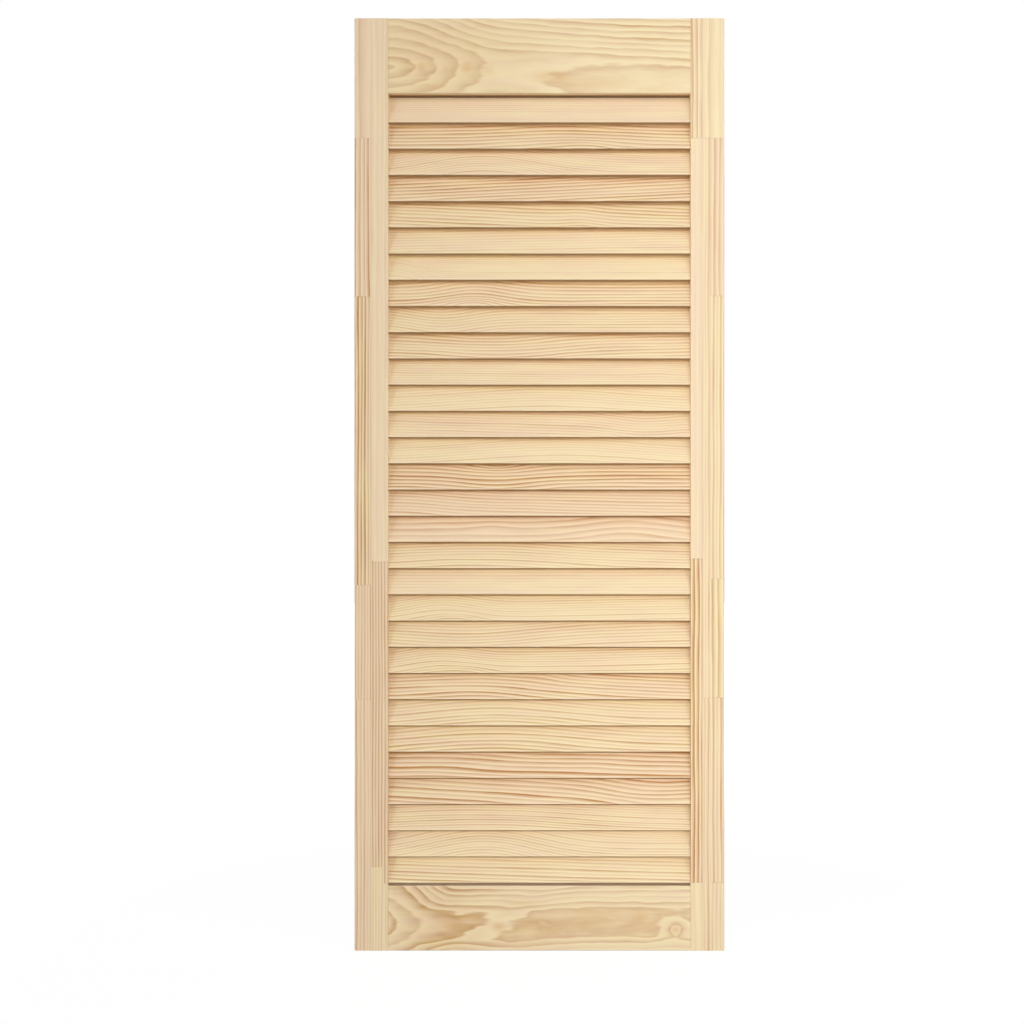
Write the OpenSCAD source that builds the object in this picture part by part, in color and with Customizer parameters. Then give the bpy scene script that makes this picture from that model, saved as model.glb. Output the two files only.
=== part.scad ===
// Louvred cabinet door: two stiles and two rails round a bank of fixed, tilted slats.
// The leaf stands on Z = 0, centred on X and Y, with its front towards -Y. Millimetres.

/* [Leaf] */
// Height of the leaf
door_h = 993; // [500:1:1500]
// Width of the leaf
door_w = 394; // [220:1:600]
// Thickness of the stiles and rails
door_t = 20; // [17:0.5:28]

/* [Frame] */
// Width of each stile
stile_w = 36; // [28:1:60]
// Height of the top rail
top_rail_h = 80; // [60:1:140]
// Height of the bottom rail
bottom_rail_h = 69; // [60:1:140]
// Radius of the eased long edges of the stiles and rails
ease_r = 1.2; // [0.4:0.1:2.5]

/* [Slats] */
// Width of a slat
slat_w = 32; // [26:0.5:38]
// Thickness of a slat
slat_t = 5; // [4:0.5:8]
// Radius of a slat's four eased long edges
slat_edge_r = 1; // [0.5:0.1:1.9]
// Lean of a slat from the vertical, with its lower edge to the front
slat_tilt = 22; // [16:1:28]
// Height by which each slat covers the top of the one below, before the bank is evened out
slat_overlap = 3; // [0.5:0.1:5]
// Space between the highest slat and the top rail
head_gap = 1.1; // [0.5:0.1:6]
// Space between the lowest slat and the bottom rail
sill_gap = 1.2; // [0.5:0.1:6]

/* [Housings] */
// Depth of the stopped housing that takes a slat end
housing_d = 8; // [5:0.5:14]
// Glue space all round the slat in its housing
housing_clear = 0.1; // [0.05:0.01:0.3]
// Space between the slat's end and the floor of its housing
slat_end_gap = 0.3; // [0.1:0.1:1]

/* [Dowels] */
// Diameter of a dowel
dowel_d = 8; // [5:1:10]
// Length of a dowel, half of it in the rail and half in the stile
dowel_l = 40; // [24:1:46]
// Distance of each dowel's centre from the nearer edge of its rail
dowel_edge = 20; // [12:1:24]
// Radial glue space round a dowel in its hole
dowel_clear = 0.05; // [0.02:0.01:0.2]
// Space past each end of a dowel for spare glue
dowel_end_gap = 1; // [0.5:0.1:3]
// Length of the chamfer at each dowel end
dowel_chamfer = 1; // [0.5:0.1:2]
// Number of glue flutes round a dowel
flute_count = 14; // [6:1:20]
// Diameter of the cutter that makes a flute
flute_d = 0.8; // [0.4:0.1:1]

/* [Hidden] */
$fn = 48;

pine = [0.91, 0.80, 0.65];
slat_pine = [0.92, 0.79, 0.62];
beech = [0.80, 0.62, 0.43];

// The clear opening inside the frame
opening_w = door_w - 2 * stile_w;
opening_h = door_h - top_rail_h - bottom_rail_h;

// The height that one tilted slat takes up
slat_flat_w = slat_w - 2 * slat_edge_r;
slat_flat_t = slat_t - 2 * slat_edge_r;
slat_rise = slat_flat_w * cos(slat_tilt) + slat_flat_t * sin(slat_tilt) + 2 * slat_edge_r;

// The bank fills the opening with whole slats at one even pitch
bank_h = opening_h - head_gap - sill_gap - slat_rise;
slat_count = 1 + round(bank_h / (slat_rise - slat_overlap));
slat_pitch = bank_h / (slat_count - 1);
first_slat_z = bottom_rail_h + sill_gap + slat_rise / 2;

function slat_name(i) = str("slat_", i < 10 ? "0" : "", i);
function slat_z(i) = first_slat_z + (i - 1) * slat_pitch;
function dowel_heights(rail_h) = [dowel_edge, rail_h - dowel_edge];

// A rectangle with its four corners eased to radius r, made from true arcs
module eased_rectangle(w, t, r) {
    square([w - 2 * r, t], center = true);
    square([w, t - 2 * r], center = true);
    for (x = [-1, 1], y = [-1, 1])
        translate([x * (w / 2 - r), y * (t / 2 - r)])
            circle(r = r);
}

// Lays an outline in the YZ plane and draws it out along X, from the middle of the door
module along_x(length) {
    rotate([90, 0, 90])
        linear_extrude(length, center = true)
            children();
}

// A slat's section seen from the side: a thin board with eased edges, its lower edge to the front
module slat_section(clear = 0) {
    rotate(-slat_tilt)
        eased_rectangle(slat_t + 2 * clear, slat_w + 2 * clear, slat_edge_r + clear);
}

module slat(i) {
    color(slat_pine)
        translate([0, 0, slat_z(i)])
            along_x(opening_w + 2 * (housing_d - slat_end_gap))
                slat_section();
}

// The router's path for slat i, which leaves one stopped housing in each stile
module slat_housing(i) {
    translate([0, 0, slat_z(i)])
        along_x(opening_w + 2 * housing_d)
            slat_section(housing_clear);
}

// Places children on the dowel centres of one corner, where the rail's end meets the stile
module at_dowels(side, rail_z, rail_h) {
    for (height = dowel_heights(rail_h))
        translate([side * opening_w / 2, 0, rail_z + height])
            rotate([0, 90, 0])
                children();
}

// One drilling serves both pieces: it is centred on the joint between rail and stile
module dowel_hole() {
    cylinder(d = dowel_d + 2 * dowel_clear, h = dowel_l + 2 * dowel_end_gap, center = true);
}

module dowel() {
    half = dowel_l / 2;
    radius = dowel_d / 2;
    difference() {
        rotate_extrude()
            polygon([
                [0, -half],
                [radius - dowel_chamfer, -half],
                [radius, dowel_chamfer - half],
                [radius, half - dowel_chamfer],
                [radius - dowel_chamfer, half],
                [0, half]
            ]);
        for (flute = [1:flute_count])
            rotate(flute * 360 / flute_count)
                translate([radius, 0, 0])
                    cylinder(d = flute_d, h = 2 * dowel_l, center = true);
    }
}

// side is -1 for the left corner joint and 1 for the right
module corner_dowels(side, rail_z, rail_h) {
    color(beech)
        at_dowels(side, rail_z, rail_h)
            dowel();
}

module corner_holes(side) {
    at_dowels(side, 0, bottom_rail_h)
        dowel_hole();
    at_dowels(side, door_h - top_rail_h, top_rail_h)
        dowel_hole();
}

// side is -1 for the left stile and 1 for the right
module stile(side) {
    color(pine)
        difference() {
            translate([side * (door_w - stile_w) / 2, 0, 0])
                linear_extrude(door_h)
                    eased_rectangle(stile_w, door_t, ease_r);
            for (i = [1:slat_count])
                slat_housing(i);
            corner_holes(side);
        }
}

module rail(rail_z, rail_h) {
    color(pine)
        difference() {
            translate([0, 0, rail_z + rail_h / 2])
                along_x(opening_w)
                    eased_rectangle(door_t, rail_h, ease_r);
            for (side = [-1, 1])
                corner_holes(side);
        }
}

module left_stile() {
    stile(-1);
}

module right_stile() {
    stile(1);
}

module top_rail() {
    rail(door_h - top_rail_h, top_rail_h);
}

module bottom_rail() {
    rail(0, bottom_rail_h);
}

module top_left_dowels() {
    corner_dowels(-1, door_h - top_rail_h, top_rail_h);
}

module top_right_dowels() {
    corner_dowels(1, door_h - top_rail_h, top_rail_h);
}

module bottom_left_dowels() {
    corner_dowels(-1, 0, bottom_rail_h);
}

module bottom_right_dowels() {
    corner_dowels(1, 0, bottom_rail_h);
}

left_stile();
right_stile();
top_rail();
bottom_rail();
for (i = [1:slat_count])
    slat(i);
top_left_dowels();
top_right_dowels();
bottom_left_dowels();
bottom_right_dowels();
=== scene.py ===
"""A louvred pine door leaf, put together as its maker does: stiles, dowels, rails, then slats."""

import math

import bpy
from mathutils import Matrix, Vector


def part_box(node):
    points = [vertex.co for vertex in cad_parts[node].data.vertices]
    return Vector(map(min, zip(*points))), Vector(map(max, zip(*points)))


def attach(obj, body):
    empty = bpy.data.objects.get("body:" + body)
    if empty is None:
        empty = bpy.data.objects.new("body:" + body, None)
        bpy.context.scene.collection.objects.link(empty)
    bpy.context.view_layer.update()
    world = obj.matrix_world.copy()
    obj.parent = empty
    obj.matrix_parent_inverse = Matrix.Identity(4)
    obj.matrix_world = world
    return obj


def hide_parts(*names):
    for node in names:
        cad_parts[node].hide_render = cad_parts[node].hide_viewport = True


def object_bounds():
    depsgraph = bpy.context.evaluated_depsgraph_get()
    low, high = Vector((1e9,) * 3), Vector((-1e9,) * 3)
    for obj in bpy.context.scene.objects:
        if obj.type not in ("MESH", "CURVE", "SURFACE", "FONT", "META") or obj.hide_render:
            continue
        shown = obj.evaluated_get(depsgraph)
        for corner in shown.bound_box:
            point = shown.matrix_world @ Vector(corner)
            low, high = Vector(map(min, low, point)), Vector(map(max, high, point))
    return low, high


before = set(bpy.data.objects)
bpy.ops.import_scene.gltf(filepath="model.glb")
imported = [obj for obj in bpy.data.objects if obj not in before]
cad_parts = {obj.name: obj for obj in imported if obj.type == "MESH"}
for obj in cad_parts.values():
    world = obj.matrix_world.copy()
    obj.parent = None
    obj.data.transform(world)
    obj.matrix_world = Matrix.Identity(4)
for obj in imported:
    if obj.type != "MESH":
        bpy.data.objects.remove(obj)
cad_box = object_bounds()


# The stiles
# Two upright members of raw pine, each glued up from strips set side by side, and every strip from
# shorter staves joined end to end. Each stave is its own piece of a tree, so its rings and its tint
# change at the glue lines. The housings for the slats are cut into the inner edges.

TO_MM = 1000


class Grain:
    """A value that changes from place to place, so that sums on it are written as sums."""

    def __init__(self, tree, socket=None):
        self.tree = tree
        self.socket = socket

    def node(self, kind, settings=None, inputs=None, output=0):
        """Adds one node, gives it its settings, then its inputs, and returns one of its outputs."""
        made = self.tree.nodes.new(kind)
        for name, value in (settings or {}).items():
            setattr(made, name, value)
        for key, value in (inputs or {}).items():
            if isinstance(value, Grain):
                self.tree.links.new(value.socket, made.inputs[key])
            else:
                made.inputs[key].default_value = value
        return Grain(self.tree, made.outputs[output])

    def math(self, operation, *others):
        values = dict(enumerate((self, *others)))
        return self.node("ShaderNodeMath", {"operation": operation}, values)

    def __add__(self, other):
        return self.math("ADD", other)

    def __sub__(self, other):
        return self.math("SUBTRACT", other)

    def __rsub__(self, other):
        return self.math("MULTIPLY", -1).math("ADD", other)

    def __mul__(self, other):
        return self.math("MULTIPLY", other)

    def __truediv__(self, other):
        return self.math("DIVIDE", other)

    def __pow__(self, other):
        return self.math("POWER", other)

    def __abs__(self):
        return self.math("ABSOLUTE")

    __radd__ = __add__
    __rmul__ = __mul__

    def parts(self):
        return [self.node("ShaderNodeSeparateXYZ", inputs={0: self}, output=i) for i in range(3)]

    def joined(self, x, y, z):
        return self.node("ShaderNodeCombineXYZ", inputs={0: x, 1: y, 2: z})

    def eased(self, low, high):
        """0 at low, 1 at high, and a smooth change between them."""
        ends = {"Value": self, "From Min": low, "From Max": high}
        return self.node("ShaderNodeMapRange", {"interpolation_type": "SMOOTHSTEP"}, ends)

    def near(self, spot, reach):
        """1 at spot, 0 farther away than reach."""
        return 1 - abs(self - spot).eased(0, reach)

    def picked(self, low, high):
        """The vector low where this value is 0 and high where it is 1."""
        return self.node("ShaderNodeMix", {"data_type": "VECTOR"}, {0: self, 4: low, 5: high}, 1)

    def tinted(self, low, high):
        """The colour low where this value is 0 and high where it is 1."""
        settings = {"data_type": "RGBA", "clamp_factor": True}
        return self.node("ShaderNodeMix", settings, {0: self, 6: low, 7: high}, 2)

    def ends_in(self, kind):
        """Feeds this value into the tree's own output node."""
        self.tree.links.new(self.socket, self.tree.nodes.new(kind).inputs[0])


BRIGHTEST = 255
SCREEN_OFFSET = 0.055
SCREEN_GAMMA = 2.4


def colour(*parts):
    """Red, green and blue as a screen states them, turned into the renderer's light values."""
    raised = [(part / BRIGHTEST + SCREEN_OFFSET) / (1 + SCREEN_OFFSET) for part in parts]
    return (*(part ** SCREEN_GAMMA for part in raised), 1)


def new_material(name):
    """An empty material and the wrapper that adds nodes to it."""
    made = bpy.data.materials.new(name)
    made.use_nodes = True
    made.node_tree.nodes.clear()
    return made, Grain(made.node_tree)


def cloud(place, size, detail=1.0):
    """Noise from about -1 to 1 whose blots have this size, in millimetres along and across."""
    along, across, deep = place
    length, width = size
    spot = along.joined(along / length, across / width, deep / width)
    settings = {"noise_dimensions": "3D"}
    inputs = {"Vector": spot, "Scale": 1.0, "Detail": detail, "Roughness": 0.5}
    return along.node("ShaderNodeTexNoise", settings, inputs) * 2 - 1


def shifted(place, along=0, across=0):
    """The same place in another part of the wood, so that one pattern doesn't follow another."""
    return place[0] + along, place[1] + across, place[2]


def bulge(along, across, spot, size):
    """A smooth hill, 1 high at the spot and nearly gone at twice its length or width."""
    out_along = (along - spot[0]) / size[0]
    out_across = (across - spot[1]) / size[1]
    return (out_along * out_along * -1 - out_across * out_across).math("EXPONENT")


EARLY_YELLOW = colour(249, 230, 188)
EARLY_PINK = colour(247, 222, 188)
LATE_YELLOW = colour(204, 156, 88)
LATE_PINK = colour(196, 138, 80)
HEARTWOOD = colour(224, 176, 110)
RESIN = colour(190, 138, 92)
END_GRAIN = colour(206, 170, 122)
GLUE_LINE = colour(178, 142, 104)
# Painted light: a pale highlight for eased arrises, and brown shade for edges down in the gaps.
PAINTED_HIGHLIGHT = colour(255, 236, 198)
PAINTED_SHADE = colour(146, 98, 50)

# How pine varies. Sizes are in millimetres along and across the grain.
WANDER_SIZE = (130, 22)
WANDER_RINGS = 0.42
RIPPLE_SIZE = (24, 6)
STILE_RIPPLE_RINGS = 0.07
FADE_SIZE = (70, 7)
FADE_SHIFT = 900
FADE_SHARE = 0.6
FIBRE_SIZE = (45, 0.6)
FIBRE_DETAIL = 2.0
FIBRE_SHARE = 0.06
FLECK_SIZE = (7, 0.5)
FLECK_SHIFT = 400
FLECK_EDGE = (0.42, 0.7)
FLECK_SHARE = 0.05
FLECK_SHARE_IN_LATE_WOOD = 0.2
BLUSH_SIZE = (80, 9)
BLUSH_SHIFT = 90
BLUSH_SHARE = 0.9

# The weakest years have this share of the late wood. In every year it grows in slowly and ends
# within the year's last part.
LEAST_VINTAGE = 0.65
LATE_WOOD_ONSET = 1.5
LATE_WOOD_END = (0.78, 1.0)

# How much of its colour each mask lays over the wood.
HEARTWOOD_SHARE = 0.7
# The next two lay painted light: the highlight on the arrises and the shade in the gaps.
PAINTED_HIGHLIGHT_SHARE = 0.4
PAINTED_SHADE_SHARE = 0.75
END_GRAIN_SHARE = 0.75
GLUE_SHARE = 0.4

PINE_ROUGHNESS = 0.62
LATE_WOOD_SMOOTHNESS = 0.1
FIBRE_ROUGHNESS = 0.05
PINE_GLOSS = 0.3
LATE_WOOD_RELIEF = 0.5
FIBRE_RELIEF = 0.5
RELIEF_STRENGTH = 0.35
RELIEF_HEIGHT = 0.00012


def rings_round(place, pith, ring_width, ripple_rings):
    """How many yearly rings lie between the tree's pith and each point of the board.

    pith is where the pith runs: its distance across, and its distance behind the board's front.
    Both may change along the board. ripple_rings is how far the rings waver, in rings.
    """
    _, across, deep = place
    pith_across, pith_deep = pith
    aside = across - pith_across
    behind = pith_deep - deep
    distance = (aside * aside + behind * behind) ** 0.5
    wander = cloud(place, WANDER_SIZE) * WANDER_RINGS
    ripple = cloud(place, RIPPLE_SIZE) * ripple_rings
    return distance / ring_width + wander + ripple


def late_wood(place, rings, late):
    """How dark each point is: a band in every ring, stronger in some years and places."""
    year = rings.math("FLOOR")
    season = rings - year
    vintage = year.node("ShaderNodeTexWhiteNoise", {"noise_dimensions": "1D"}, {"W": year})
    fade = 1 + cloud(shifted(place, along=FADE_SHIFT), FADE_SIZE) * FADE_SHARE
    strength = (LEAST_VINTAGE + vintage) * late * fade
    return (season ** LATE_WOOD_ONSET) * (1 - season.eased(*LATE_WOOD_END)) * strength


def pine_surface(place, rings, late, warmth, marks=None, ends=None, heart=None, edges=None):
    """Finishes sawn and sanded pine: pale early wood that darkens into each year's late wood.

    late is how strong the late wood stands out and warmth how pink the board is. The rest are
    masks: marks of glue lines, ends of sawn ends, heart of ochre heartwood, and edges, a pair:
    a painted highlight on the arrises and painted shade on the edges that lie in the gaps.
    """
    dark = late_wood(place, rings, late)
    fibre = cloud(place, FIBRE_SIZE, FIBRE_DETAIL)
    fleck = cloud(shifted(place, along=FLECK_SHIFT), FLECK_SIZE).eased(*FLECK_EDGE)
    blush = cloud(shifted(place, across=BLUSH_SHIFT), BLUSH_SIZE) * BLUSH_SHARE
    warm = (warmth + blush).eased(0, 1)
    early_colour = warm.tinted(EARLY_YELLOW, EARLY_PINK)
    late_colour = warm.tinted(LATE_YELLOW, LATE_PINK)
    if heart is not None:
        early_colour = (heart * HEARTWOOD_SHARE).tinted(early_colour, HEARTWOOD)
    tone = (dark + fibre * FIBRE_SHARE).tinted(early_colour, late_colour)
    fleck_share = FLECK_SHARE + FLECK_SHARE_IN_LATE_WOOD * dark
    tone = (fleck * fleck_share).tinted(tone, RESIN)
    if edges is not None:
        # Painted light: a highlight on the arrises, then shade on the edges in the gaps.
        tone = (edges[0] * PAINTED_HIGHLIGHT_SHARE).tinted(tone, PAINTED_HIGHLIGHT)
        tone = (edges[1] * PAINTED_SHADE_SHARE).tinted(tone, PAINTED_SHADE)
    if ends is not None:
        tone = (ends * END_GRAIN_SHARE).tinted(tone, END_GRAIN)
    if marks is not None:
        tone = (marks * GLUE_SHARE).tinted(tone, GLUE_LINE)
    relief = dark * LATE_WOOD_RELIEF + fibre * FIBRE_RELIEF
    bump = {"Strength": RELIEF_STRENGTH, "Distance": RELIEF_HEIGHT, "Height": relief}
    finish = {
        "Base Color": tone,
        "Roughness": PINE_ROUGHNESS - LATE_WOOD_SMOOTHNESS * dark + FIBRE_ROUGHNESS * fibre,
        "Normal": tone.node("ShaderNodeBump", inputs=bump),
        "Specular IOR Level": PINE_GLOSS,
    }
    tone.node("ShaderNodeBsdfPrincipled", inputs=finish).ends_in("ShaderNodeOutputMaterial")


def dress(node, material):
    """Gives a piece of the frame its own material."""
    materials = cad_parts[node].data.materials
    materials.clear()
    materials.append(material)


def board_place(wood):
    """The object's own coordinates in millimetres, as three values."""
    coordinates = wood.node("ShaderNodeTexCoord", output="Object")
    return [part * TO_MM for part in coordinates.parts()]


FINGER_PITCH = 4.0
FINGER_DEPTH = 1.2
GLUE_WIDTH = 0.35
SIDE_GLUE_STRENGTH = 0.5
# A stave lies farther along the wood by this many times its pith's distance from the middle, so that
# staves with other piths have other patterns.
STAVE_SHIFT = 37
# How far up or down a surface faces where it starts to be end grain, and where it is wholly that.
END_FACING = (0.7, 0.9)

# Each strip: its far side from the stile's left edge, then its staves from the bottom up. A stave:
# the height of its foot, its pith (how far from the stile's middle, how far behind its front), and
# its growth (ring width, late wood, warmth).
LEFT_STRIPS = [
    (17.5, [
        (0, (-46, 34), (2.9, 0.5, 0.9)),
        (268, (50, 26), (2.9, 0.7, 0.85)),
        (390, (-60, 24), (3.3, 1.15, 0.45)),
        (697, (-60, 20), (4.4, 0.8, 0.9)),
        (866, (10, 44), (5.0, 0.4, 1.0)),
    ]),
    (29.5, [
        (0, (64, 30), (2.8, 0.4, 0.5)),
        (90, (64, 30), (2.8, 1.0, 0.95)),
        (415, (42, 66), (4.0, 0.25, 0.8)),
    ]),
    (36, [
        (0, (60, 60), (2.8, 0.4, 0.45)),
        (72, (64, 40), (2.8, 1.0, 0.9)),
        (415, (60, 60), (4.0, 0.4, 0.6)),
    ]),
]
RIGHT_STRIPS = [
    (12.5, [
        (0, (-30, 60), (3.0, 0.35, 0.3)),
        (73, (-34, 22), (3.4, 1.35, 0.4)),
        (418, (-50, 60), (3.4, 0.2, 0.8)),
        (866, (-44, 30), (3.8, 0.75, 0.45)),
    ]),
    (20.5, [
        (0, (-48, 40), (3.2, 0.65, 0.5)),
        (270, (50, 30), (2.9, 0.5, 0.45)),
        (866, (44, 50), (5.5, 0.45, 0.25)),
    ]),
    (36, [
        (0, (60, 50), (3.0, 0.45, 0.6)),
        (73, (60, 40), (3.4, 0.65, 0.7)),
        (270, (50, 30), (5.0, 0.75, 0.3)),
        (397, (64, 30), (3.3, 0.6, 0.35)),
        (698, (60, 40), (4.2, 0.5, 0.9)),
        (866, (60, 60), (6.0, 0.25, 0.1)),
    ]),
]


def make_stile_pine(stile, strips):
    """The pine of one stile, with the rings and tint of each of its staves."""
    material, wood = new_material(stile + "_pine")
    low, high = [corner * TO_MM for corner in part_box(stile)]
    x, y, z = board_place(wood)
    across = x - low.x
    deep = y - low.y
    fingers = (across / FINGER_PITCH).math("PINGPONG", 0.5) * 2 * FINGER_DEPTH
    height = z + fingers
    near_side = 0
    chosen_pith, chosen_growth, marks = None, None, None
    for far_side, staves in strips:
        _, first_pith, growth = staves[0]
        pith = (*first_pith, 0)
        here = across.math("GREATER_THAN", near_side)
        for foot, next_pith, next_growth in staves[1:]:
            past = height.math("GREATER_THAN", foot)
            pith = past.picked(pith, (*next_pith, 0))
            growth = past.picked(growth, next_growth)
            line = height.near(foot, GLUE_WIDTH) * here * across.math("LESS_THAN", far_side)
            marks = line if marks is None else marks.math("MAXIMUM", line)
        if near_side:
            pith = here.picked(chosen_pith, pith)
            growth = here.picked(chosen_growth, growth)
            side_line = across.near(near_side, GLUE_WIDTH) * SIDE_GLUE_STRENGTH
            marks = marks.math("MAXIMUM", side_line)
        chosen_pith, chosen_growth = pith, growth
        near_side = far_side
    pith_aside, pith_deep, _ = chosen_pith.parts()
    ring_width, late, warmth = chosen_growth.parts()
    place = (z + pith_aside * STAVE_SHIFT, across, deep)
    pith_across = pith_aside + (high.x - low.x) / 2
    rings = rings_round(place, (pith_across, pith_deep), ring_width, STILE_RIPPLE_RINGS)
    facing = abs(wood.node("ShaderNodeTexCoord", output="Normal").parts()[2])
    pine_surface(place, rings, late, warmth, marks=marks, ends=facing.eased(*END_FACING))
    return material


dress("left_stile", make_stile_pine("left_stile", LEFT_STRIPS))
dress("right_stile", make_stile_pine("right_stile", RIGHT_STRIPS))


# The dowels
# Eight fluted pins of turned beech, two in each corner joint, glued half into the stile and half into
# the rail. Beech is even and pinkish, with short dark flecks along the grain.

BEECH = colour(214, 172, 128)
BEECH_DARK = colour(178, 130, 88)
BEECH_FLECK_SIZE = (3.2, 0.4)
BEECH_FLECK_EDGE = (0.3, 0.6)
BEECH_FLECK_SHARE = 0.6
BEECH_STREAK_SIZE = (40, 0.8)
BEECH_STREAK_DETAIL = 2.0
BEECH_DARK_SHARE = 0.3
BEECH_STREAK_SHARE = 0.4
BEECH_ROUGHNESS = 0.55
BEECH_STREAK_ROUGHNESS = 0.08
BEECH_RELIEF_STRENGTH = 0.3
BEECH_RELIEF_HEIGHT = 0.0001


def make_beech():
    """The beech of the dowels, whose grain runs along X as they do."""
    material, wood = new_material("turned_beech")
    place = board_place(wood)
    fleck = cloud(place, BEECH_FLECK_SIZE).eased(*BEECH_FLECK_EDGE)
    streak = cloud(place, BEECH_STREAK_SIZE, BEECH_STREAK_DETAIL)
    tone = (streak * BEECH_STREAK_SHARE + BEECH_DARK_SHARE).tinted(BEECH, BEECH_DARK)
    tone = (fleck * BEECH_FLECK_SHARE).tinted(tone, BEECH_DARK)
    bump = {"Strength": BEECH_RELIEF_STRENGTH, "Distance": BEECH_RELIEF_HEIGHT, "Height": streak}
    finish = {
        "Base Color": tone,
        "Roughness": BEECH_ROUGHNESS + streak * BEECH_STREAK_ROUGHNESS,
        "Normal": wood.node("ShaderNodeBump", inputs=bump),
    }
    wood.node("ShaderNodeBsdfPrincipled", inputs=finish).ends_in("ShaderNodeOutputMaterial")
    return material


beech = make_beech()
for corner in ("top_left", "top_right", "bottom_left", "bottom_right"):
    dress(corner + "_dowels", beech)


# The rails
# Two wide boards of flat-sawn pine between the stiles. The tree's pith ran just behind their faces
# and sank away along them, so the rings come out as nested loops that open into long lines.

RAIL_RIPPLE_RINGS = 0.22

# Places along and across a rail are counted from its middle. Where a value changes along the rail,
# it is written as its first value, its last, and the two places between which it changes.
TOP_RING_WIDTH = 10.2
TOP_FIRST_RING = 5.75
TOP_LATE = (0.48, 0.58, (20, 120))
TOP_WARMTH = 0.25
# The top rail's pith starts at the face at the left end, sinks to its depth, and then rises a little.
TOP_PITH_ACROSS = (-12, -32, (-71, 99))
TOP_PITH_START = -161
TOP_PITH_SLOPE = 0.436
TOP_PITH_DEPTH = 47
TOP_PITH_EASING = 24
TOP_PITH_RISE = (0, -12, (-61, 99))
# Above this slanting line the rings crowd by so many more a millimetre.
TOP_CROWD_SLANT = 0.07
TOP_CROWDING = (0, 0.075, (-165, -40))

BOTTOM_RING_WIDTH = 14
BOTTOM_LATE = (0.7, 0.42, (-110, 0))
BOTTOM_WARMTH = 0.4
# The bottom rail's pith sinks with the root of the distance, dips once more at a slanting place and
# wavers, which leaves the torn edges of its loops.
BOTTOM_PITH_ACROSS = (-4, -8, (-160, -80))
BOTTOM_PITH_RETURN = (0, 4, (-40, 60))
BOTTOM_PITH_START = -160
BOTTOM_PITH_SLOPE = 4.75
BOTTOM_PITH_DEPTH = 36
BOTTOM_PITH_EASING = 6
BOTTOM_DIP_DEPTH = 7
BOTTOM_DIP_SLANT = 1.4
BOTTOM_DIP = (-38, 40)
BOTTOM_WAVER_SIZE = (36, 14)
BOTTOM_WAVER_DEPTH = 4.5
# Farther from the pith than this the rings crowd.
BOTTOM_CROWD_FROM = 15
BOTTOM_CROWDING = (0, 0.13, (-150, -90))

KNOT_PLACE = (145, -12)
KNOT_SIZE = (6.5, 6.5)
KNOT_REACH = (16, 15)
KNOT_RINGS = 0.85

# Patches of heartwood: where along, where across, their length and width, and how strong they are.
TOP_HEART = [
    (-126, -12, 7, 7, 0.8), (-100, -13, 7, 5, 0.5), (-78, -12, 8, 8, 0.8), (-54, -14, 9, 9, 0.5),
    (-118, -33, 18, 5, 0.6), (-45, 12, 40, 4, 0.35), (10, -22, 24, 7, 0.55), (70, -30, 40, 7, 0.45),
    (120, -36, 24, 6, 0.4), (-110, 0, 90, 50, 0.35),
]
BOTTOM_HEART = [
    (-90, -8, 13, 7, 0.75), (-43, -9, 8, 5, 0.8), (5, -6, 26, 11, 0.35), (62, 2, 42, 10, 0.32),
    (105, -8, 30, 10, 0.3), (107, 1, 9, 8, 0.6), (145, -12, 7, 7, 0.5), (-100, -27, 24, 4, 0.4),
    (-20, -26, 40, 4, 0.35), (-20, 16, 26, 4, 0.35), (-110, 0, 50, 50, 0.25),
]

# The rails' edges that face the slats: where across a painted highlight lies on the arris and where
# painted shade lies in the gap, and how deep behind the front the painted shade begins and, on the
# bottom rail, ends.
TOP_ARRIS = (-39.4, -38.6)
TOP_PAINTED_SHADE = (-40, -39.8)
TOP_PAINTED_SHADE_FROM = (5, 10)
BOTTOM_ARRIS = (33.2, 33.8)
BOTTOM_PAINTED_SHADE = (34.2, 34.4)
BOTTOM_PAINTED_SHADE_FROM = (1.6, 2.8)
BOTTOM_PAINTED_SHADE_TO = (8, 12)


def rail_place(rail, wood):
    """Where each point of a rail lies, in millimetres: along it, up from its middle, and deep."""
    low, high = [corner * TO_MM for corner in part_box(rail)]
    x, y, z = board_place(wood)
    return x, z - (low.z + high.z) / 2, y - low.y


def changing(along, first, last, span):
    """A value that eases from first to last over a span of places along the board."""
    return first + (last - first) * along.eased(*span)


def patches(place, spots):
    """A mask of soft patches."""
    total = None
    for along, across, length, width, strength in spots:
        patch = bulge(place[0], place[1], (along, across), (length, width)) * strength
        total = patch if total is None else total.math("MAXIMUM", patch)
    return total


def make_top_rail_pine():
    material, wood = new_material("top_rail_pine")
    place = rail_place("top_rail", wood)
    along, across, deep = place
    sunk = (along - TOP_PITH_START) * TOP_PITH_SLOPE
    pith_deep = sunk.math("SMOOTH_MIN", TOP_PITH_DEPTH, TOP_PITH_EASING)
    pith_deep = pith_deep + changing(along, *TOP_PITH_RISE)
    pith = (changing(along, *TOP_PITH_ACROSS), pith_deep)
    rings = rings_round(place, pith, TOP_RING_WIDTH, RAIL_RIPPLE_RINGS)
    above = (across + TOP_CROWD_SLANT * along).math("MAXIMUM", 0)
    rings = rings + above * changing(along, *TOP_CROWDING) + TOP_FIRST_RING
    # Painted shade on the underside deep in the gap over the highest slat, and a painted highlight on
    # the arris.
    painted_shade = (1 - across.eased(*TOP_PAINTED_SHADE)) * deep.eased(*TOP_PAINTED_SHADE_FROM)
    arris_highlight = 1 - across.eased(*TOP_ARRIS) - painted_shade
    masks = {"heart": patches(place, TOP_HEART), "edges": (arris_highlight, painted_shade)}
    pine_surface(place, rings, changing(along, *TOP_LATE), TOP_WARMTH, **masks)
    return material


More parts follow.
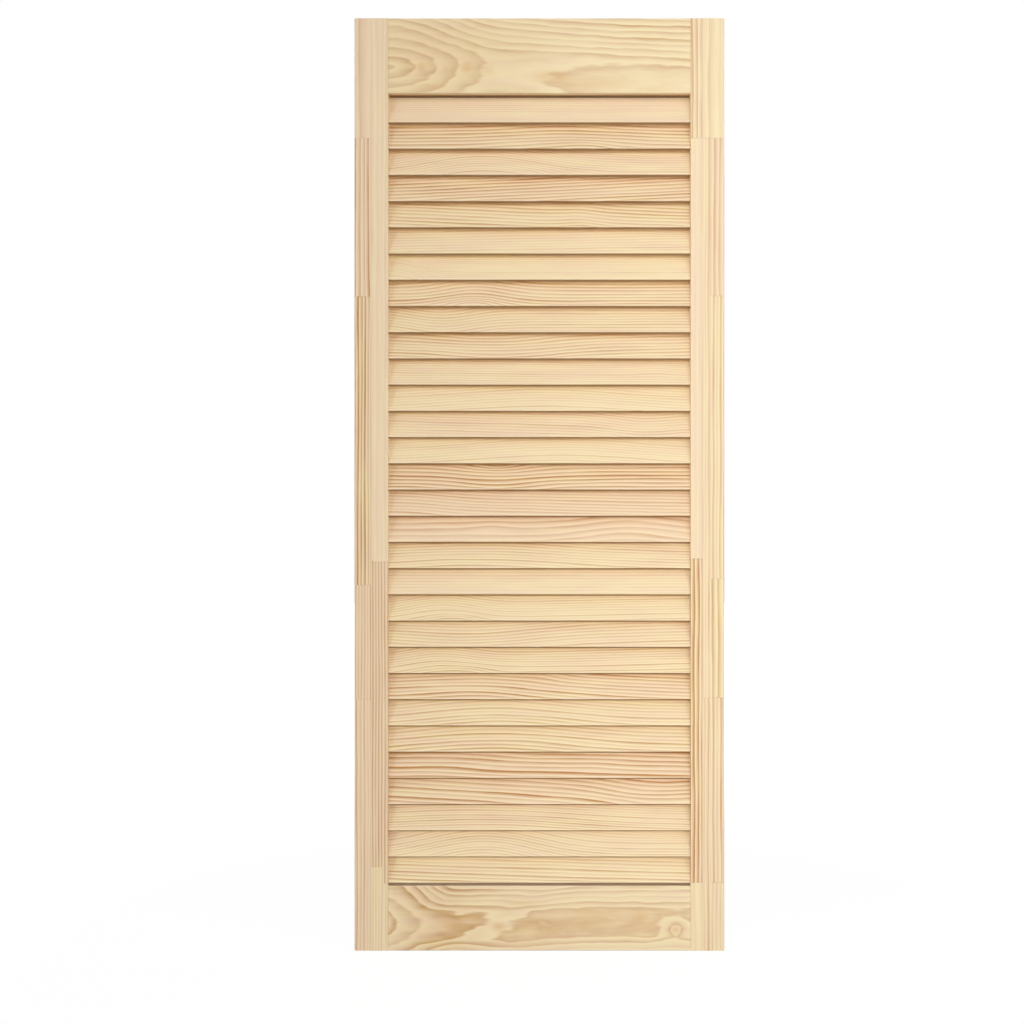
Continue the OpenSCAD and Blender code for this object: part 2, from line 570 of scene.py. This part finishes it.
def make_bottom_rail_pine():
    material, wood = new_material("bottom_rail_pine")
    place = rail_place("bottom_rail", wood)
    along, across, deep = place
    sunk = (along - BOTTOM_PITH_START).math("MAXIMUM", 0) ** 0.5 * BOTTOM_PITH_SLOPE
    pith_deep = sunk.math("SMOOTH_MIN", BOTTOM_PITH_DEPTH, BOTTOM_PITH_EASING)
    dip = (along - across * BOTTOM_DIP_SLANT).near(*BOTTOM_DIP) * BOTTOM_DIP_DEPTH
    pith_deep = pith_deep + dip + cloud(place, BOTTOM_WAVER_SIZE) * BOTTOM_WAVER_DEPTH
    pith_across = changing(along, *BOTTOM_PITH_ACROSS) + changing(along, *BOTTOM_PITH_RETURN)
    rings = rings_round(place, (pith_across, pith_deep), BOTTOM_RING_WIDTH, RAIL_RIPPLE_RINGS)
    outside = (abs(across - pith_across) - BOTTOM_CROWD_FROM).math("MAXIMUM", 0)
    knot = bulge(along, across, KNOT_PLACE, KNOT_SIZE) + bulge(along, across, KNOT_PLACE, KNOT_REACH)
    rings = rings + outside * changing(along, *BOTTOM_CROWDING) + knot * KNOT_RINGS
    # Painted shade on the top face deep in the gap under the lowest slat, and a painted highlight on
    # the arris.
    in_gap = deep.eased(*BOTTOM_PAINTED_SHADE_FROM) * (1 - deep.eased(*BOTTOM_PAINTED_SHADE_TO))
    painted_shade = across.eased(*BOTTOM_PAINTED_SHADE) * in_gap
    arris_highlight = across.eased(*BOTTOM_ARRIS) - painted_shade
    masks = {"heart": patches(place, BOTTOM_HEART), "edges": (arris_highlight, painted_shade)}
    pine_surface(place, rings, changing(along, *BOTTOM_LATE), BOTTOM_WARMTH, **masks)
    return material


dress("top_rail", make_top_rail_pine())
dress("bottom_rail", make_bottom_rail_pine())


# The slats
# Thirty thin planed boards of pine with eased long edges, each leaning with its lower edge to the
# front and let into the housings at its two ends. Every slat comes from another board.

SLAT_LEAN = math.radians(22)
SLAT_EDGE_RADIUS = 0.001
SLAT_EDGE_STEPS = 32
# Edges bent more than this stay sharp, and the flats keep their own shading by this weight.
CORNER_ANGLE = math.radians(35)
FLAT_WEIGHT = 100

slat_names = sorted(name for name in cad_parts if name.startswith("slat_"))
first_low, first_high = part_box(slat_names[0])
last_low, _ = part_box(slat_names[-1])
slat_box = first_high - first_low
# A leaning slat's height and depth, less its round edges, are both made of its flat width and flat
# thickness, so the two flats come from the two.
upright = slat_box.z - 2 * SLAT_EDGE_RADIUS
forward = slat_box.y - 2 * SLAT_EDGE_RADIUS
lean_cos = math.cos(SLAT_LEAN)
lean_sin = math.sin(SLAT_LEAN)
lean_share = lean_cos ** 2 - lean_sin ** 2
slat_sizes = {
    "Count": len(slat_names),
    "First height": (first_low.z + first_high.z) / 2,
    "Pitch": (last_low.z - first_low.z) / (len(slat_names) - 1),
    "Length": slat_box.x,
    "Edge radius": SLAT_EDGE_RADIUS,
    "Flat thickness": (forward * lean_cos - upright * lean_sin) / lean_share,
    "Flat width": (upright * lean_cos - forward * lean_sin) / lean_share,
    "Lean": SLAT_LEAN,
}


def make_slat_tree(material):
    """Nodes that shape one slat, number its copies up the leaf, and set them at their pitch."""
    tree = bpy.data.node_groups.new("Louvre slats", "GeometryNodeTree")
    for name, value in slat_sizes.items():
        kind = "NodeSocketInt" if name == "Count" else "NodeSocketFloat"
        tree.interface.new_socket(name, in_out="INPUT", socket_type=kind)
    tree.interface.new_socket("Geometry", in_out="OUTPUT", socket_type="NodeSocketGeometry")
    given = tree.nodes.new("NodeGroupInput")
    size = {name: Grain(tree, given.outputs[name]) for name in slat_sizes}
    bench = Grain(tree)

    radius = size["Edge radius"] / math.cos(math.pi / SLAT_EDGE_STEPS)
    round_bar = bench.node(
        "GeometryNodeCurvePrimitiveCircle", {"mode": "RADIUS"},
        {"Resolution": SLAT_EDGE_STEPS, "Radius": radius},
    )
    turned = bench.node(
        "GeometryNodeTransform", {},
        {"Geometry": round_bar, "Rotation": (0, 0, math.pi / SLAT_EDGE_STEPS)},
    )
    face, edge, _ = bench.node("GeometryNodeInputPosition").parts()
    thicker = face.math("SIGN") * size["Flat thickness"] / 2
    wider = edge.math("SIGN") * size["Flat width"] / 2
    section = bench.node(
        "GeometryNodeSetPosition", {},
        {"Geometry": turned, "Offset": face.joined(thicker, wider, 0)},
    )
    half = size["Length"] / 2
    line = bench.node(
        "GeometryNodeCurvePrimitiveLine", {"mode": "POINTS"},
        {"Start": half.joined(half * -1, 0, 0), "End": half.joined(half, 0, 0)},
    )
    slat = bench.node(
        "GeometryNodeCurveToMesh", {},
        {"Curve": line, "Profile Curve": section, "Fill Caps": True},
    )
    position = bench.node("GeometryNodeInputPosition")
    slat = bench.node(
        "GeometryNodeStoreNamedAttribute", {"data_type": "FLOAT_VECTOR", "domain": "POINT"},
        {"Geometry": slat, "Name": "board", "Value": position},
    )
    rows = bench.node(
        "GeometryNodeMeshLine", {"mode": "OFFSET", "count_mode": "TOTAL"},
        {
            "Count": size["Count"],
            "Start Location": half.joined(0, 0, size["First height"]),
            "Offset": half.joined(0, 0, size["Pitch"]),
        },
    )
    number = bench.node("GeometryNodeInputIndex") + 1
    rows = bench.node(
        "GeometryNodeStoreNamedAttribute", {"data_type": "FLOAT", "domain": "POINT"},
        {"Geometry": rows, "Name": "slat", "Value": number},
    )
    bank = bench.node(
        "GeometryNodeInstanceOnPoints", {},
        {"Points": rows, "Instance": slat, "Rotation": half.joined(size["Lean"] * -1, 0, 0)},
    )
    real = bench.node("GeometryNodeRealizeInstances", {}, {"Geometry": bank})
    done = bench.node("GeometryNodeSetMaterial", {}, {"Geometry": real, "Material": material})
    done.ends_in("NodeGroupOutput")
    return tree


def applied(made):
    """Takes the object's modifiers into its mesh and removes them."""
    bpy.context.view_layer.update()
    graph = bpy.context.evaluated_depsgraph_get()
    finished = bpy.data.meshes.new_from_object(made.evaluated_get(graph))
    made.modifiers.clear()
    made.data = finished
    return made


def make_slats(material):
    slats = bpy.data.objects.new("louvre_slats", bpy.data.meshes.new("louvre_slats"))
    bpy.context.scene.collection.objects.link(slats)
    build = slats.modifiers.new("Louvre slats", "NODES")
    build.node_group = make_slat_tree(material)
    for socket in build.node_group.interface.items_tree:
        if socket.in_out == "INPUT":
            build[socket.identifier] = slat_sizes[socket.name]
    applied(slats)
    slats.data.shade_smooth()
    slats.data.set_sharp_from_angle(angle=CORNER_ANGLE)
    flats = slats.modifiers.new("Flats", "WEIGHTED_NORMAL")
    flats.keep_sharp = True
    flats.weight = FLAT_WEIGHT
    return applied(slats)


# How the grain runs in each slat, from the bottom one up, in millimetres from the slat's middle: its
# slope; its bend (where, how high, how long); its eye (where along, where across, how far it pushes
# the lines); its growth (ring width, late wood, warmth). A bend of no height still needs a length.
NO_BEND = (0, 0, 100)
NO_EYE = (0, 0, 0)
SLAT_BOARDS = [
    (-0.03, NO_BEND, NO_EYE, (3.8, 0.7, 0.3)),
    (0.0, (-60, 20, 80), (139, 12, -5), (3.0, 0.5, 0.45)),
    (-0.01, (-60, 8, 120), NO_EYE, (2.6, 0.65, 0.5)),
    (-0.06, (115, -6, 50), NO_EYE, (4.8, 1.0, 0.7)),
    (-0.03, (-100, 2, 50), (60, 0, 1), (5.0, 1.2, 0.8)),
    (0.0, (-50, 13, 120), NO_EYE, (4.0, 0.8, 0.4)),
    (0.0, (-50, 12, 110), NO_EYE, (3.6, 0.65, 0.3)),
    (-0.03, (-60, 8, 90), (5, 12, 2), (3.8, 0.95, 0.65)),
    (0.02, (-108, 8, 45), (-72, -13, 3), (2.8, 0.7, 0.35)),
    (0.02, (-70, -8, 90), NO_EYE, (3.4, 0.7, 0.5)),
    (0.02, (-105, 9, 45), (-80, -14, 3), (2.8, 0.6, 0.2)),
    (0.0, NO_BEND, NO_EYE, (3.4, 0.4, 0.5)),
    (-0.01, (-60, 8, 120), NO_EYE, (3.2, 0.7, 0.35)),
    (0.0, (95, 9, 60), (-50, 0, 3), (7.0, 0.6, 1.0)),
    (-0.02, (-150, 5, 60), NO_EYE, (3.6, 0.7, 0.85)),
    (0.0, (-45, -6, 55), (-45, 13, -5), (4.4, 1.2, 0.7)),
    (0.0, (20, 12, 130), NO_EYE, (3.0, 0.45, 0.3)),
    (-0.03, (110, -5, 40), NO_EYE, (3.2, 0.6, 0.65)),
    (0.0, (0, 12, 130), NO_EYE, (3.2, 0.5, 0.25)),
    (-0.01, NO_BEND, (125, 0, 2), (2.8, 0.5, 0.5)),
    (0.01, (-47, -8, 80), NO_EYE, (3.8, 0.8, 0.5)),
    (0.0, (-105, -9, 45), NO_EYE, (3.4, 0.7, 0.4)),
    (0.0, (-70, 9, 45), (-70, -14, 6), (4.0, 0.9, 0.55)),
    (0.0, (-165, 12, 45), NO_EYE, (2.6, 0.4, 0.3)),
    (0.02, NO_BEND, (150, 12, -4), (3.4, 0.45, 0.45)),
    (-0.05, (45, 2, 20), (45, -14, 2), (4.2, 0.85, 0.3)),
    (0.055, NO_BEND, NO_EYE, (4.0, 1.0, 0.7)),
    (0.0, (-60, 20, 80), (134, 12, -5), (3.0, 0.55, 0.6)),
    (0.0, (25, 6, 80), (49, -15, 4), (4.4, 1.0, 0.6)),
    (0.0, NO_BEND, NO_EYE, (2.6, 0.3, 0.75)),
]


def record_boards(slats):
    """Writes how the grain runs in each slat on the slat's own vertices, for the pine to read."""
    numbers = [round(entry.value) for entry in slats.data.attributes["slat"].data]
    slopes = slats.data.attributes.new("slope", "FLOAT", "POINT")
    for vertex, number in enumerate(numbers):
        slopes.data[vertex].value = SLAT_BOARDS[number - 1][0]
    for place, name in enumerate(("bend", "eye", "growth"), 1):
        written = slats.data.attributes.new(name, "FLOAT_VECTOR", "POINT")
        for vertex, number in enumerate(numbers):
            written.data[vertex].vector = SLAT_BOARDS[number - 1][place]


EYE_SIZE = (26, 7)
# A bend lifts the lines over the slat's whole width, so its hill is this wide.
ANY_WIDTH = 1000
# The rings cross a slat's thickness with this lean, and every slat starts at another part of a ring.
RINGS_LEAN = 0.5
FIRST_SLAT_RING = 20
SLAT_RING_STEP = 0.37
# Each slat is this much farther along the wood than the one below it, and all lie this deep in it.
SLAT_SHIFT = 700
SLAT_DEPTH = 3
SLAT_WANDER_SIZE = (110, 14)
SLAT_WANDER_RINGS = 0.4
SLAT_RIPPLE_SIZE = (26, 4)
SLAT_RIPPLE_RINGS = 0.08
# Where across a slat a painted highlight lies on its lower front arris, and where painted
# shade lies on its lower edge, in the dark line under each slat.
SLAT_ARRIS = (-15, -13.4)
SLAT_PAINTED_SHADE = (-16, -15.4)


def make_slat_pine():
    """One pine for all slats, which reads from each slat's vertices how its grain runs."""
    material, wood = new_material("slat_pine")

    def read(name, output="Vector"):
        return wood.node("ShaderNodeAttribute", {"attribute_name": name}, output=output)

    along, deep, across = [part * TO_MM for part in read("board").parts()]
    number = read("slat", "Fac")
    bend_along, bend_height, bend_length = read("bend").parts()
    eye_along, eye_across, push = read("eye").parts()
    ring_width, late, warmth = read("growth").parts()
    bend = bulge(along, across, (bend_along, 0), (bend_length, ANY_WIDTH)) * bend_height
    eye = bulge(along, across, (eye_along, eye_across), EYE_SIZE) * push
    lift = read("slope", "Fac") * along + bend + eye
    place = (along + number * SLAT_SHIFT, across, deep + SLAT_DEPTH)
    wander = cloud(place, SLAT_WANDER_SIZE) * SLAT_WANDER_RINGS
    ripple = cloud(place, SLAT_RIPPLE_SIZE) * SLAT_RIPPLE_RINGS
    rings = (across + deep * RINGS_LEAN - lift) / ring_width + wander + ripple
    rings = rings + number * SLAT_RING_STEP + FIRST_SLAT_RING
    # Painted shade on each slat's lower edge and a painted highlight on its lower front arris.
    painted_shade = 1 - across.eased(*SLAT_PAINTED_SHADE)
    arris_highlight = 1 - across.eased(*SLAT_ARRIS) - painted_shade
    pine_surface(place, rings, late, warmth, edges=(arris_highlight, painted_shade))
    return material


louvre_slats = make_slats(make_slat_pine())
record_boards(louvre_slats)
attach(louvre_slats, "root")
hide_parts(*slat_names)


# The floor
# A plain pale sheet that the leaf stands on. It looks white to the camera and keeps a soft shadow.

FLOOR_REACH = 5.0
FLOOR_GREY = (0.3, 0.3, 0.3, 1)
FLOOR_GLOW = 1.2
WHITE = (1, 1, 1, 1)
SHADOW_SHARE = 0.2
# The shadow fades out between these two distances from the leaf, in metres.
SHADOW_FADE = (0.5, 1.1)


def make_floor():
    corners = [(-1, -1), (1, -1), (1, 1), (-1, 1)]
    mesh = bpy.data.meshes.new("floor")
    mesh.from_pydata([(x * FLOOR_REACH, y * FLOOR_REACH, 0) for x, y in corners], [], [(0, 1, 2, 3)])
    floor = bpy.data.objects.new("floor", mesh)
    bpy.context.scene.collection.objects.link(floor)
    material, paint = new_material("floor_white")
    x, y, _ = paint.node("ShaderNodeTexCoord", output="Object").parts()
    far = ((x * x + y * y) ** 0.5).eased(*SHADOW_FADE)
    seen = paint.node("ShaderNodeLightPath", output="Is Camera Ray")
    share = seen * (1 - SHADOW_SHARE * (1 - far))
    grey = paint.node("ShaderNodeBsdfDiffuse", inputs={"Color": FLOOR_GREY})
    white = paint.node("ShaderNodeEmission", inputs={"Color": WHITE, "Strength": FLOOR_GLOW})
    surface = paint.node("ShaderNodeMixShader", inputs={0: share, 1: grey, 2: white})
    surface.ends_in("ShaderNodeOutputMaterial")
    mesh.materials.append(material)


make_floor()


# The studio light
# A tall soft lamp stands close by in front on the right, with a small one at its foot and its head.
# The rest comes from the room: windows low in front, the brightest of them on the left, paler walls
# above them, a bright low wall behind the leaf, and a dim ceiling.

LAMP_WIDTH = 0.4
# Each lamp: its place, its height, and its power in watts.
SIDE_LAMPS = {
    "side_lamp": ((0.25, -0.45, 0.6), 1.2, 1.38),
    "foot_lamp": ((0.34, -0.5, 0.14), 0.26, 0.2),
    "head_lamp": ((0.34, -0.5, 1.0), 0.3, 0.26),
}
# How bright each part of the room is. The left window and the front's other light multiply the
# windows and the walls.
WINDOW_LIGHT = 1.75
WALL_LIGHT = 0.97
LEFT_WINDOW = 3.8
OTHER_FRONT = 0.8
CEILING_LIGHT = 0.4
BACK_LIGHT = 2.3
# Where each part begins or ends: upwards from the horizon, 0, to straight up, 1, and where the room's
# front gives way to its back.
HORIZON = (0.0, 0.03)
WINDOW_TOP = (0.17, 0.25)
WALL_TOP = (0.45, 0.6)
BACK_WALL_TOP = (0.25, 0.45)
CEILING_EDGE = (0.5, 0.8)
FRONT_TO_BACK = (-0.05, 0.05)
# The left window's place to the side, from the middle, 0, to wholly left, -1, and its reach.
LEFT_WINDOW_PLACE = (-0.62, 0.13)


def add_lamp(name, place, height, power):
    """A soft lamp that stands upright and faces the leaf's middle line."""
    lamp = bpy.data.lights.new(name, "AREA")
    lamp.shape = "RECTANGLE"
    lamp.size = LAMP_WIDTH
    lamp.size_y = height
    lamp.energy = power
    holder = bpy.data.objects.new(name, lamp)
    holder.location = place
    towards = Vector((leaf_middle.x - place[0], leaf_middle.y - place[1], 0))
    holder.rotation_euler = towards.to_track_quat("-Z", "Y").to_euler()
    bpy.context.scene.collection.objects.link(holder)


def light_room():
    world = bpy.data.worlds.new("studio")
    bpy.context.scene.world = world
    world.use_nodes = True
    world.node_tree.nodes.clear()
    room = Grain(world.node_tree)
    side, back, up = room.node("ShaderNodeTexCoord", output="Generated").parts()
    window = WINDOW_LIGHT * (1 - up.eased(*WINDOW_TOP))
    walls = WALL_LIGHT * (1 - up.eased(*WALL_TOP))
    spread = OTHER_FRONT + LEFT_WINDOW * side.near(*LEFT_WINDOW_PLACE)
    back_wall = BACK_LIGHT * (1 - up.eased(*BACK_WALL_TOP))
    ceiling = CEILING_LIGHT * up.eased(*CEILING_EDGE)
    behind = back.eased(*FRONT_TO_BACK)
    light = (1 - behind) * (window + walls) * spread + behind * back_wall + ceiling
    light = light * up.eased(*HORIZON)
    seen = room.node("ShaderNodeLightPath", output="Is Camera Ray")
    strength = seen + light * (1 - seen)
    sky = room.node("ShaderNodeBackground", inputs={"Color": WHITE, "Strength": strength})
    sky.ends_in("ShaderNodeOutputWorld")


leaf_middle = (cad_box[0] + cad_box[1]) / 2
for lamp_name, (lamp_place, lamp_height, lamp_power) in SIDE_LAMPS.items():
    add_lamp(lamp_name, lamp_place, lamp_height, lamp_power)
light_room()


# The camera
# It stands square in front of the leaf, level with its middle.

CAMERA_DISTANCE = 1.7
CAMERA_LENS = 56.13
CAMERA_SENSOR = 36
CAMERA_LEVEL = math.radians(90)
# The image is a square of this many pixels, and the leaf's middle lies at this pixel of it.
IMAGE_SIZE = 1024
LEAF_MIDDLE_IN_IMAGE = (539.4, 484.5)


def add_camera():
    camera = bpy.data.objects.new("camera", bpy.data.cameras.new("camera"))
    camera.data.lens = CAMERA_LENS
    camera.data.sensor_width = CAMERA_SENSOR
    camera.data.shift_x = (IMAGE_SIZE / 2 - LEAF_MIDDLE_IN_IMAGE[0]) / IMAGE_SIZE
    camera.data.shift_y = (LEAF_MIDDLE_IN_IMAGE[1] - IMAGE_SIZE / 2) / IMAGE_SIZE
    camera.location = (leaf_middle.x, cad_box[0].y - CAMERA_DISTANCE, leaf_middle.z)
    camera.rotation_euler = (CAMERA_LEVEL, 0, 0)
    bpy.context.scene.collection.objects.link(camera)
    bpy.context.scene.camera = camera


add_camera()
bpy.context.scene.view_settings.view_transform = "Standard"
